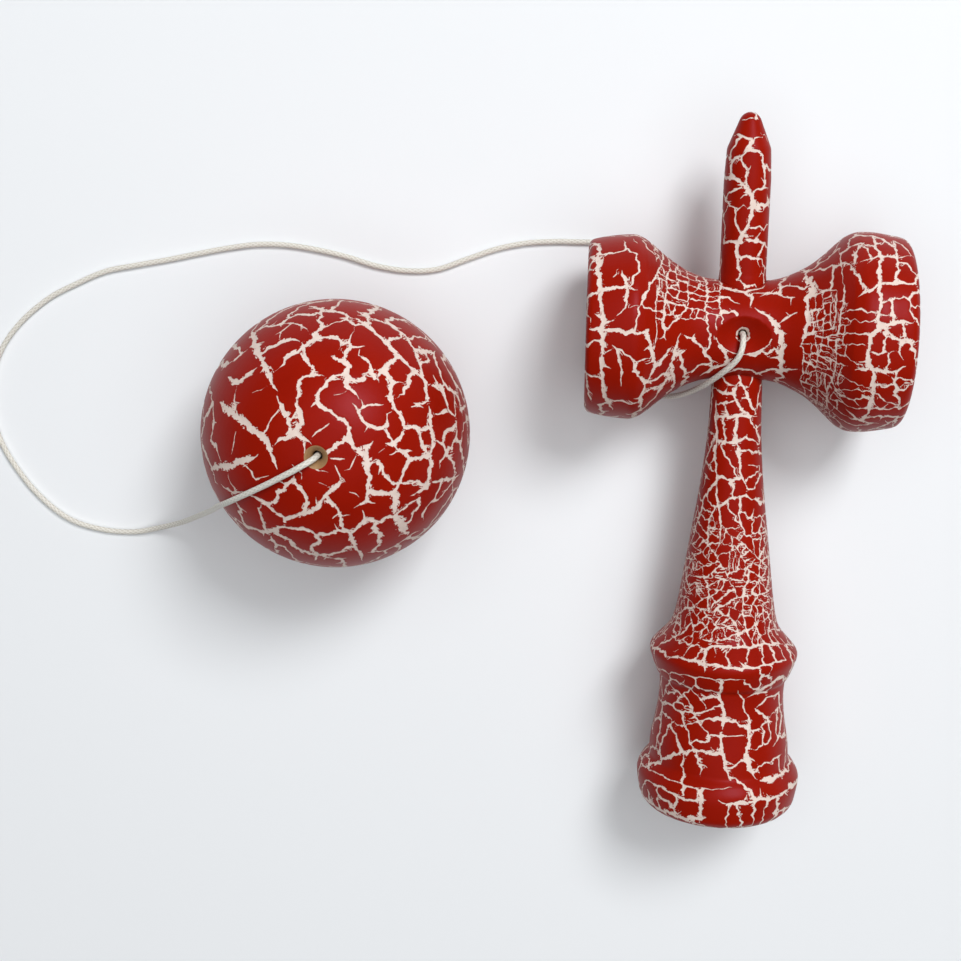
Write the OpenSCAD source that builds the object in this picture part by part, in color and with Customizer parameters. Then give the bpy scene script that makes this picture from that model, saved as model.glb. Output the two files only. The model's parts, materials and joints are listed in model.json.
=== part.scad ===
// Cup and ball toy: a turned handle with a spike, a cross cup on its taper, and a drilled ball on a cord.
// It lies on a table. +Z is up, +Y runs along the handle to the spike, +X along the cross cup to the big cup.
// Stations on the handle and the cross cup are measured from the hub, where their two axes cross.

/* [Ball] */
// Radius of the ball
ball_r = 30; // [28:0.5:34]
// Radius of the spike hole
bore_r = 10.2; // [8:0.1:11]
// Length of the spike hole's straight wall
bore_len = 32; // [24:0.5:34]
// Width of the bevel round the spike hole's mouth
mouth_bevel = 1; // [0.5:0.1:2]
// Radius of the bead that the cord is tied under
bead_r = 4; // [3:0.1:4.2]

/* [Handle] */
// Station of the spike's tip
tip_s = 47.2; // [44:0.1:60]
// Radius of the spike
spike_r = 5.1; // [4.5:0.05:5.15]
// Station where the spike starts to thin
spike_end_s = 33; // [26:0.5:36]
// Radius of the taper seat at its spike end
seat_top_r = 5.2; // [5.16:0.01:5.3]
// Radius of the taper seat at its grip end
seat_low_r = 5.6; // [5.5:0.01:5.8]
// Largest radius of the ring above the foot
ring_r = 17; // [15:0.1:19]
// Largest radius of the foot
foot_r = 18.9; // [17:0.1:21]
// Distance from the hub to the foot's rim
foot_s = 112.3; // [108:0.1:125]
// Radius of the base cup at its rim
base_cup_r = 14.8; // [12:0.1:15.2]
// Depth of the base cup
base_cup_depth = 6; // [4:0.1:8]

/* [Cross cup] */
// Radius of the waist
waist_r = 10.9; // [10:0.1:12]
// Largest radius of the big cup
big_cup_r = 22; // [20:0.1:25]
// Largest radius of the small cup
small_cup_r = 20.5; // [18:0.1:23]
// Station of the big cup's rim
big_rim_x = 35.6; // [34:0.1:38]
// Station of the small cup's rim
small_rim_x = 34.2; // [32:0.1:37]
// Radius of the big cup's hollow at its rim
big_hollow_r = 18.9; // [16:0.1:19]
// Radius of the small cup's hollow at its rim
small_hollow_r = 17.4; // [15:0.1:17.5]
// Depth of the big cup's hollow
big_hollow_depth = 9; // [6:0.1:12]
// Depth of the small cup's hollow
small_hollow_depth = 8; // [6:0.1:11]
// Radius of the drilled dish round the cord hole
dish_r = 6; // [4:0.1:7]

/* [Cord] */
// Diameter of the cord
cord_d = 1.3; // [1:0.1:1.6]
// Radius of the cord holes
cord_hole_r = 1; // [0.9:0.05:1.2]

/* [Layout] */
// Place of the hub across the set
hub_x = 41.7; // [40:0.1:50]
// Place of the hub along the set
hub_y = 32.7; // [28:0.1:40]
// Place of the ball across the set
ball_x = -47.8; // [-60:0.1:-40]
// Place of the ball along the set
ball_y = 8.2; // [0:0.1:20]

/* [Hidden] */
$fn = 96;

crackle_red = [0.66, 0.1, 0.06];
bead_white = [0.85, 0.82, 0.75];
cord_cream = [0.82, 0.8, 0.74];

fit_gap = 0.05;
cord_r = cord_d / 2;
// How far a cutter runs past the face that it cuts, and how far the cord runs into its knot.
cut_past = 1;
knot_bite = 0.2;

// The set rests on the widest ring of each cup and of the foot, which gives its height, roll and pitch.
big_widest_x = 25.8;
small_widest_x = 25;
foot_widest_s = 105.2;
roll = atan2(big_cup_r - small_cup_r, big_widest_x + small_widest_x);
hub_z = small_cup_r * cos(roll) + small_widest_x * sin(roll);
pitch = asin(hub_z / norm([foot_widest_s, foot_r])) - atan2(foot_r, foot_widest_s);

// Points of a smooth curve through a list of points, with n steps to a span.
function span_point(a, b, c, d, t) =
    0.5 * (2 * b + (c - a) * t + (2 * a - 5 * b + 4 * c - d) * t * t + (3 * b - a - 3 * c + d) * t * t * t);
function before(p, i) = i == 0 ? 2 * p[0] - p[1] : p[i - 1];
function after(p, i) = i + 2 < len(p) ? p[i + 2] : 2 * p[i + 1] - p[i];
function curve_at(p, u) =
    let (i = min(floor(u), len(p) - 2))
    span_point(before(p, i), p[i], p[i + 1], after(p, i), u - i);
function curve(p, n) = [for (k = [0 : n * (len(p) - 1)]) curve_at(p, k / n)];

// Points of an arc about a centre, from one angle to another.
function arc(centre, radius, from, to, n) =
    [for (k = [0 : n]) centre + radius * [cos(from + (to - from) * k / n), sin(from + (to - from) * k / n)]];

// Sphere radius of a hollow with a given rim radius and depth.
function hollow_sphere_r(rim, depth) = (rim * rim + depth * depth) / (2 * depth);

// A place in the handle and cross cup's own frame, carried to the table's frame.
function pitched(p) = [p.x, p.y * cos(pitch) - p.z * sin(pitch), p.y * sin(pitch) + p.z * cos(pitch)];
function rolled(p) = [p.x * cos(roll) - p.z * sin(roll), p.y, p.x * sin(roll) + p.z * cos(roll)];
function from_hub(p) = [hub_x, hub_y, hub_z] + pitched(rolled(p));

module at_hub() {
    translate([hub_x, hub_y, hub_z]) rotate([pitch, 0, 0]) rotate([0, -roll, 0]) children();
}

module along_handle() {
    rotate([-90, 0, 0]) children();
}

module along_cross_cup() {
    rotate([0, 90, 0]) children();
}

// The handle's outline, radius then station, from the tip to the foot's rim.
nose_r = 4.75;
nose_s = 39.5;
tip_ball_r = 2.45;
nose_angle = 22;
seat_top_s = 12;
seat_low_s = -11.6;
ring_s = -74.8;
groove_s = -80.6;
foot_top_s = -100.5;
foot_rim_r = 16.4;

nose_line = concat(arc([0, tip_s - tip_ball_r], tip_ball_r, 90, nose_angle, 8),
                   [[nose_r, nose_s], [spike_r, spike_end_s], [spike_r, seat_top_s],
                    [seat_top_r, seat_top_s]]);
grip_line = curve([[seat_low_r, seat_low_s], [6.05, -24], [7.25, -36], [8.9, -48], [10.55, -60],
                   [11.5, -65.5], [12.7, -69], [ring_r - 1.7, -72.1], [ring_r - 0.4, -73.6], [ring_r, ring_s],
                   [ring_r - 0.75, -77.3], [ring_r - 1.7, -79.8]], 3);
body_line = curve([[14.55, groove_s], [14.35, -84], [14.6, -88], [15.2, -92], [15.95, -96],
                   [16.3, foot_top_s]], 3);
foot_line = curve([[foot_r - 1.3, -101.9], [foot_r - 0.25, -103.7], [foot_r, -foot_widest_s],
                   [foot_r - 0.4, -108.2], [foot_r - 1, -110.6], [foot_rim_r, -foot_s]], 4);
handle_outline = concat(nose_line, grip_line, body_line, foot_line, [[0, -foot_s]]);

// The cross cup's outline, radius then station, from the small cup's rim to the big cup's rim.
small_band = curve([[small_hollow_r + 0.1, -small_rim_x], [small_cup_r - 1.5, 0.7 - small_rim_x],
                    [small_cup_r - 0.9, -32], [small_cup_r - 0.3, -28.5], [small_cup_r, -small_widest_x],
                    [small_cup_r - 0.1, -23.3], [small_cup_r - 0.9, -21.5]], 4);
small_cone = curve([[18.1, -19.5], [16, -17], [13.9, -14], [12.3, -11], [11.3, -7.8], [waist_r, -4]], 3);
big_cone = curve([[waist_r, 4], [11.3, 7.5], [12.3, 10.5], [14.35, 14.5], [16.7, 17.5], [19.1, 20]], 3);
big_band = curve([[big_cup_r - 1.1, 22], [big_cup_r - 0.2, 24], [big_cup_r, big_widest_x],
                  [big_cup_r - 0.05, 28], [big_cup_r - 0.5, 31], [big_cup_r - 1.1, 34],
                  [big_cup_r - 1.9, big_rim_x - 0.5], [big_hollow_r + 0.1, big_rim_x]], 4);
cross_outline = concat([[0, -small_rim_x]], small_band, small_cone, big_cone, big_band, [[0, big_rim_x]]);

// Hollows of the cups: the centre of each one's sphere lies outside the rim.
module hollow(rim, depth, station) {
    radius = hollow_sphere_r(rim, depth);
    translate([0, 0, station + radius - depth]) sphere(r = radius);
}

// Knot of the cord, a flattened round lump.
knot_r = 1.85;
knot_half = 1.25;
module knot() {
    rotate_extrude() polygon([for (a = [-90 : 15 : 90]) [knot_r * cos(a), knot_half * sin(a)]]);
}

// Cord holes of the handle: a through hole, and a pocket behind that hides the knot under the cross cup.
pocket_r = 2.4;
pocket_floor_z = -2.6;
knot_z = -4;

module handle() {
    color(crackle_red) at_hub() difference() {
        along_handle() difference() {
            rotate_extrude() polygon(handle_outline);
            mirror([0, 0, 1]) hollow(base_cup_r, base_cup_depth, foot_s);
        }
        cylinder(h = 4 * seat_low_r, r = cord_hole_r, center = true);
        mirror([0, 0, 1]) translate([0, 0, -pocket_floor_z]) cylinder(h = 2 * seat_low_r, r = pocket_r);
    }
}

// Dish and cord hole in the front of the cross cup, drilled square to both axes.
dish_angle = 60;
dish_apex_z = 7.65;
eyelet_r = 1.6;
eyelet_z = dish_apex_z + eyelet_r / tan(dish_angle);
eyelet_depth = 0.7;
mouth_z = 6;

module cord_dish() {
    dish_depth = dish_r / tan(dish_angle);
    cylinder(h = big_cup_r, r = cord_hole_r);
    translate([0, 0, dish_apex_z]) cylinder(h = dish_depth, r1 = 0, r2 = dish_r);
    translate([0, 0, dish_apex_z + dish_depth]) cylinder(h = dish_r, r = dish_r);
    translate([0, 0, eyelet_z - eyelet_depth]) cylinder(h = eyelet_depth, r1 = cord_hole_r, r2 = eyelet_r);
}

module cross_cup() {
    bore_h = seat_top_s - seat_low_s;
    color(crackle_red) at_hub() difference() {
        along_cross_cup() difference() {
            rotate_extrude() polygon(cross_outline);
            hollow(big_hollow_r, big_hollow_depth, big_rim_x);
            mirror([0, 0, 1]) hollow(small_hollow_r, small_hollow_depth, small_rim_x);
        }
        along_handle() translate([0, 0, seat_low_s])
            cylinder(h = bore_h, r1 = seat_low_r + fit_gap, r2 = seat_top_r + fit_gap);
        cord_dish();
    }
}

// Stations up the ball's own axis, from its centre.
mouth_r = bore_r + mouth_bevel;
mouth_floor = -sqrt(ball_r * ball_r - mouth_r * mouth_r);
bore_low = mouth_floor + mouth_bevel;
bore_top = bore_low + bore_len;
drill_angle = 59;
pocket_gap = 0.8;
bead_pocket_r = bead_r + pocket_gap;
bead_pocket_len = 7;
step_top = bore_top + (bore_r - bead_pocket_r) / tan(drill_angle);
pocket_top = step_top + bead_pocket_len;
pocket_point = pocket_top + (bead_pocket_r - cord_hole_r) / tan(drill_angle);
bead_gap = 0.45;
bead_z = pocket_top + bead_pocket_r / tan(drill_angle) - (bead_r + bead_gap) / sin(drill_angle);
ball_sink_r = 2.45;
ball_sink_top = sqrt(ball_r * ball_r - ball_sink_r * ball_sink_r);
run_end_z = 25.2;
knot_nest = 0.3;
ball_knot_z = bead_z - bead_r - knot_half + knot_nest;

module at_ball() {
    translate([ball_x, ball_y, -mouth_floor]) children();
}

module ball() {
    below = ball_r + mouth_floor + cut_past;
    bore_line = [[0, mouth_floor - below], [mouth_r + below, mouth_floor - below], [bore_r, bore_low],
                 [bore_r, bore_top], [bead_pocket_r, step_top], [bead_pocket_r, pocket_top],
                 [cord_hole_r, pocket_point], [cord_hole_r, ball_sink_top - ball_sink_r + cord_hole_r],
                 [ball_sink_r + cut_past, ball_sink_top + cut_past], [0, ball_sink_top + cut_past]];
    color(crackle_red) at_ball() difference() {
        sphere(r = ball_r);
        rotate_extrude() polygon(bore_line);
    }
}

module bead() {
    color(bead_white) at_ball() translate([0, 0, bead_z]) difference() {
        sphere(r = bead_r);
        cylinder(h = 3 * bead_r, r = cord_hole_r, center = true);
    }
}

module handle_knot() {
    color(cord_cream) at_hub() translate([0, 0, knot_z]) knot();
}

module ball_knot() {
    color(cord_cream) at_ball() translate([0, 0, ball_knot_z]) knot();
}

module cord_in_handle() {
    low = knot_z + knot_half - knot_bite;
    color(cord_cream) at_hub() translate([0, 0, low]) cylinder(h = mouth_z - low, r = cord_r);
}

module cord_in_ball() {
    low = ball_knot_z + knot_half - knot_bite;
    color(cord_cream) at_ball() translate([0, 0, low]) cylinder(h = run_end_z - low, r = cord_r);
}

// Route out of the dish and over the waist, in the hub's own frame.
over_waist = [[0, 0, mouth_z], [0, 0, mouth_z + 1], [0, 0, mouth_z + 2], [0, -0.4, 9.6], [-0.1, -1.6, 10.8],
              [-0.4, -3.2, 11.3], [-1, -4.8, 11.1], [-2, -6.3, 10.3], [-3.7, -8.2, 8.8], [-6.2, -10.9, 5.2]];

// Route down to the table and under the small cup to its far side.
under_cup = [[33.4, 19.6, 21.5], [31.4, 17.5, 15], [29.3, 15.7, 8], [27.2, 14.8, 3.2], [25.4, 15.4, 1.4],
             [24.1, 17, 0.8], [23.6, 19.3, cord_r], [23.8, 22.8, cord_r], [24.7, 28, cord_r],
             [25.2, 34, cord_r], [24.7, 40, cord_r], [22.7, 45, cord_r], [19, 49, cord_r],
             [13.5, 50.5, cord_r], [10.5, 50.5, cord_r], [7.5, 50.5, cord_r]];
front_route = concat([for (p = over_waist) from_hub(p)], under_cup);

// Route over the table in a long bow past the ball, then up to the ball's side.
on_table = [[7.5, 50.5], [4, 50.5], [0.5, 50.5], [-6.5, 50], [-13.5, 48.5], [-20.5, 46], [-27.5, 43.5],
            [-34.5, 43], [-42, 44], [-49, 46], [-56, 47.5], [-63.5, 48.5], [-70.5, 48.5], [-77.5, 47.5],
            [-85, 46], [-92, 44.5], [-100, 43], [-107, 41.5], [-114, 38.5], [-121.5, 34.5], [-129, 28],
            [-134, 20.5], [-136.5, 11], [-134.5, 0], [-129, -9.5], [-123, -16], [-117, -20], [-109.5, -22]];
up_to_ball = [[-102, -22.3, 0.8], [-95.5, -20.8, 2.2], [-88, -17.7, 8.5], [-81, -13.4, 19], [-75.8, -9.7, 30]];

// Route over the ball and down into its cord hole, from the ball's centre.
over_ball = [[-24.8, -15.1, 11], [-20.7, -12.2, 19.7], [-16.1, -9.4, 24.8], [-11, -6.5, 28.2],
             [-6.9, -4.1, 30.2], [-4.5, -2.7, 31.1], [-2.7, -1.6, 31.4], [-1.3, -0.8, 31], [-0.3, -0.2, 29.8],
             [0, 0, run_end_z + 3], [0, 0, run_end_z + 1.5], [0, 0, run_end_z]];
run_route = concat([for (p = on_table) [p.x, p.y, cord_r]], up_to_ball,
                   [for (p = over_ball) [ball_x, ball_y, -mouth_floor] + p]);

// Tube of the cord: rings square to the route, carried along it without twist, and capped ends.
cord_sides = 8;
front_rings = 28;
run_rings = 52;
function unit(v) = v / norm(v);
function square_to(v, t) = unit(v - (v * t) * t);
function heading(p, i) = unit(p[min(i + 1, len(p) - 1)] - p[max(i - 1, 0)]);
function ring(centre, t, side) =
    [for (k = [0 : cord_sides - 1])
        let (a = 360 * (k + 0.5) / cord_sides)
        centre + cord_r * (cos(a) * side + sin(a) * cross(t, side))];
function even_steps(route, n) = [for (k = [0 : n - 1]) curve_at(route, k * (len(route) - 1) / (n - 1))];

module tube(centres, first_side) {
    last = len(centres) - 1;
    sides = [for (i = 0, s = square_to(first_side, heading(centres, 0)); i <= last;
                  i = i + 1, s = i <= last ? square_to(s, heading(centres, i)) : s) s];
    points = [for (i = [0 : last]) each ring(centres[i], heading(centres, i), sides[i])];
    walls = [for (i = [0 : last - 1], k = [0 : cord_sides - 1])
        let (a = i * cord_sides + k, b = i * cord_sides + (k + 1) % cord_sides)
        each [[a, a + cord_sides, b], [b, a + cord_sides, b + cord_sides]]];
    near_cap = [for (k = [1 : cord_sides - 2]) [0, k, k + 1]];
    far = last * cord_sides;
    far_cap = [for (k = [1 : cord_sides - 2]) [far, far + k + 1, far + k]];
    polyhedron(points, concat(walls, near_cap, far_cap));
}

module cord_front() {
    color(cord_cream) tube(even_steps(front_route, front_rings), [1, 0, 0]);
}

module cord_run() {
    color(cord_cream) tube(even_steps(run_route, run_rings), [0, 0, 1]);
}

handle();
cross_cup();
ball();
bead();
handle_knot();
ball_knot();
cord_in_handle();
cord_front();
cord_run();
cord_in_ball();
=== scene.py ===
import json
import math
import random

import bmesh
import bpy
import numpy as np
from bpy.props import FloatProperty, FloatVectorProperty, IntProperty, PointerProperty
from mathutils import Euler, Matrix, Quaternion, Vector
from mathutils.bvhtree import BVHTree
from mathutils.kdtree import KDTree


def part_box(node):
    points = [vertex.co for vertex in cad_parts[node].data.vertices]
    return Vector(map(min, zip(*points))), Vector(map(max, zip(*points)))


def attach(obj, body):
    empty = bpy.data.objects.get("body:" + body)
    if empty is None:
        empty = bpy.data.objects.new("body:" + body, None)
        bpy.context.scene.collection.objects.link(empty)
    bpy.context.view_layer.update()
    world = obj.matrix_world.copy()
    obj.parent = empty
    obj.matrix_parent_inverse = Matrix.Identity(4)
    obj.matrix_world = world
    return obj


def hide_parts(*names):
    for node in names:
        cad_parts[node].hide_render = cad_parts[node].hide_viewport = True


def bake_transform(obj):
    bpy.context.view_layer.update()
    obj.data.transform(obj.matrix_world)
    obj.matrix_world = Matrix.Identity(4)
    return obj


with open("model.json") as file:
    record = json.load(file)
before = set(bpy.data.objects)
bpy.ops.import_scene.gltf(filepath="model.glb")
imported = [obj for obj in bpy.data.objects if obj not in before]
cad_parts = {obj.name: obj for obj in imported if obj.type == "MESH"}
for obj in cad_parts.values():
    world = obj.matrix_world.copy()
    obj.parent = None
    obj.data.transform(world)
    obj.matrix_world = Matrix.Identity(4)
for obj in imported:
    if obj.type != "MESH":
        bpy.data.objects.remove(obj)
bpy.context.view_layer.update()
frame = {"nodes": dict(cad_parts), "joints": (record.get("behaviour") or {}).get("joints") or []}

bl_info = {
    "name": "Cup and ball toy",
    "version": (1, 0, 0),
    "blender": (4, 5, 0),
    "location": "View3D > Sidebar > Toy",
    "description": "Dresses a turned cup and ball toy in crackle paint, with its braided cord",
    "category": "Object",
}

MM = 0.001

# The side of the picture in pixels and of the camera's sensor in millimetres.
FRAME_SIDE = 961
SENSOR = 36.0

# The handle and the cross cup cross at the hub, and lie on the table with a slight roll and pitch.
HUB = Vector((41.7, 32.7, 21.229)) * MM
ROLL = math.radians(1.6913)
PITCH = math.radians(1.2711)
TOY_TURN = Matrix.Rotation(PITCH, 3, "X") @ Matrix.Rotation(-ROLL, 3, "Y")
CROSS_AXIS, HANDLE_AXIS, DISH_AXIS = TOY_TURN.col
BALL_CENTRE = Vector(next(j for j in frame["joints"] if j["name"] == "ball_spin")["pos_m"])
UP = Vector((0, 0, 1))

# Routes of the cord in millimetres, as the solids of the cord have them.
CORD_R = 0.65
OVER_WAIST = [(0, 0, 6), (0, 0, 7), (0, 0, 8), (0, -0.4, 9.6), (-0.1, -1.6, 10.8), (-0.4, -3.2, 11.3),
              (-1, -4.8, 11.1), (-2, -6.3, 10.3), (-3.7, -8.2, 8.8), (-6.2, -10.9, 5.2)]
UNDER_CUP = [(33.4, 19.6, 21.5), (31.4, 17.5, 15), (29.3, 15.7, 8), (27.2, 14.8, 3.2), (25.4, 15.4, 1.4),
             (24.1, 17, 0.8), (23.6, 19.3, CORD_R), (23.8, 22.8, CORD_R), (24.7, 28, CORD_R),
             (25.2, 34, CORD_R), (24.7, 40, CORD_R), (22.7, 45, CORD_R), (19, 49, CORD_R),
             (13.5, 50.5, CORD_R), (10.5, 50.5, CORD_R), (7.5, 50.5, CORD_R)]
ON_TABLE = [(7.5, 50.5), (4, 50.5), (0.5, 50.5), (-6.5, 50), (-13.5, 48.5), (-20.5, 46), (-27.5, 43.5),
            (-34.5, 43), (-42, 44), (-49, 46), (-56, 47.5), (-63.5, 48.5), (-70.5, 48.5), (-77.5, 47.5),
            (-85, 46), (-92, 44.5), (-100, 43), (-107, 41.5), (-114, 38.5), (-121.5, 34.5), (-129, 28),
            (-134, 20.5), (-136.5, 11), (-134.5, 0), (-129, -9.5), (-123, -16), (-117, -20), (-109.5, -22)]
UP_TO_BALL = [(-102, -22.3, 0.8), (-95.5, -20.8, 2.2), (-88, -17.7, 8.5), (-81, -13.4, 19),
              (-75.8, -9.7, 30)]
OVER_BALL = [(-24.8, -15.1, 11), (-20.7, -12.2, 19.7), (-16.1, -9.4, 24.8), (-11, -6.5, 28.2),
             (-6.9, -4.1, 30.2), (-4.5, -2.7, 31.1), (-2.7, -1.6, 31.4), (-1.3, -0.8, 31),
             (-0.3, -0.2, 29.8), (0, 0, 28.2), (0, 0, 26.7), (0, 0, 25.2)]

# Along the drilled hole from the hub, in millimetres: the knot's end, the joint of handle and cup, the exit.
KNOT_END, SEAT_JOINT, CORD_EXIT = -2.95, (5.2, 5.8), 8.6
# The braid's mesh: the length of a ring, the faces round it, and the share of the radius a strand stands out.
RING = 0.3 * MM
RING_SIDES = 24
STRAND_RISE = 0.05
# A knot is a trefoil of this many rings, drawn to these scales in millimetres.
KNOT_RINGS = 120
KNOT_WIDE, KNOT_DEEP = 0.58, 0.6

# Stations along the handle and the cross cup from the hub, and radii, in millimetres.
SEAT = (-8.6, 8.6)
GRIP_FINE = (-72.0, -40.0)
BASE_RIM = -111.9
SMALL_BAND = -21.0
BIG_BAND = 21.5
CUP_INSIDE_R = 18.6
BORE_LOW, BORE_LOW_R = -11.6, 5.65
BORE_TOP, BORE_TOP_R = 12.0, 5.25
DISH_R = 6.0
DISH_APEX = 7.65
DISH_SLOPE = math.tan(math.radians(30))
DISH_RINGS = (2.3, 3.0, 3.7, 4.4, 5.1, 5.6)
CORD_HOLE_R = 1.0
EYELET_LOW = 7.874
EYELET_R = 1.6
KNOT_FLOOR = 2.6
KNOT_POCKET_R = 2.4
BALL_COAT_R = 29.6
BALL_SINK_R = 2.45
# Drills reach this far, which is clear of the wood, and have this many sides.
PAST_HANDLE, PAST_CUP = 9, 18
DRILL_SIDES = 64
# Corners closer than this are one.
TOUCH = 0.001 * MM

# How the cracks of each piece grow: the seed, the places looked at for wide islands, and those for hairlines.
GROWTH = {"ball": (7, 6000, 160), "handle": (11, 12000, 260), "cross_cup": (24, 12000, 200)}

# The soft key lamp and the wide sky: side in metres or spread, strength, and place in metres.
KEY_SIDE, KEY_WATTS, KEY_PLACE = 0.35, 7.8, (0.36, 0.6, 0.86)
SKY_SPREAD, SKY_STRENGTH, SKY_PLACE = math.radians(80), 1.75, (0.1, 0.1, 1.3)
# The floor reaches this far from the middle each way, in metres.
FLOOR_REACH = 3.0

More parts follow.
